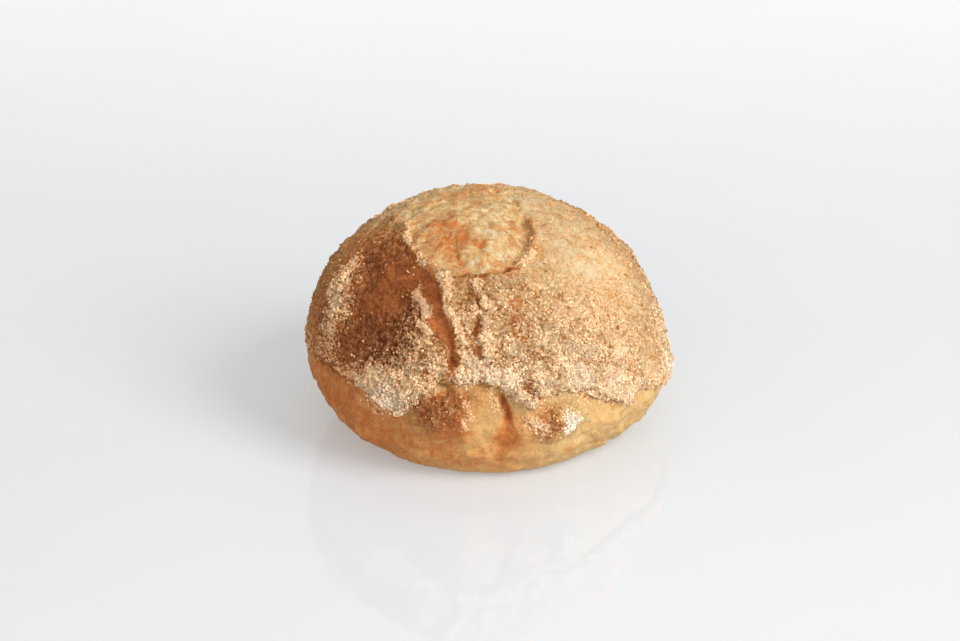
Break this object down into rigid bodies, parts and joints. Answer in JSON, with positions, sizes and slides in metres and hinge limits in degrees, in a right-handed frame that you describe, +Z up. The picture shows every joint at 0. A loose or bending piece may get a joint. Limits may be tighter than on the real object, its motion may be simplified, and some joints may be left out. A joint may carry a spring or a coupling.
{
  "type": "bread roll",
  "caption": "Round crusty wholemeal bread roll, dusted with flour, its crust torn open round the lower edge and on top.",
  "frame": {"origin": "middle of the roll's bounding box in plan, on the surface it rests on", "axes": "+Z up from the base through the top of the dome, -Y towards the side with the highest part of the lower tear, +X to that side's right"},
  "size_m": [0.0978, 0.0962, 0.0621],
  "materials": {
    "crust": "baked bread crust, dull and rough, golden to orange-brown",
    "flour": "caked flour grains, dull cream",
    "bran": "toasted bran flakes, dull brown"
  },
  "bodies": {
    "root": {"bread_roll": "crust"}
  },
  "joints": []
}
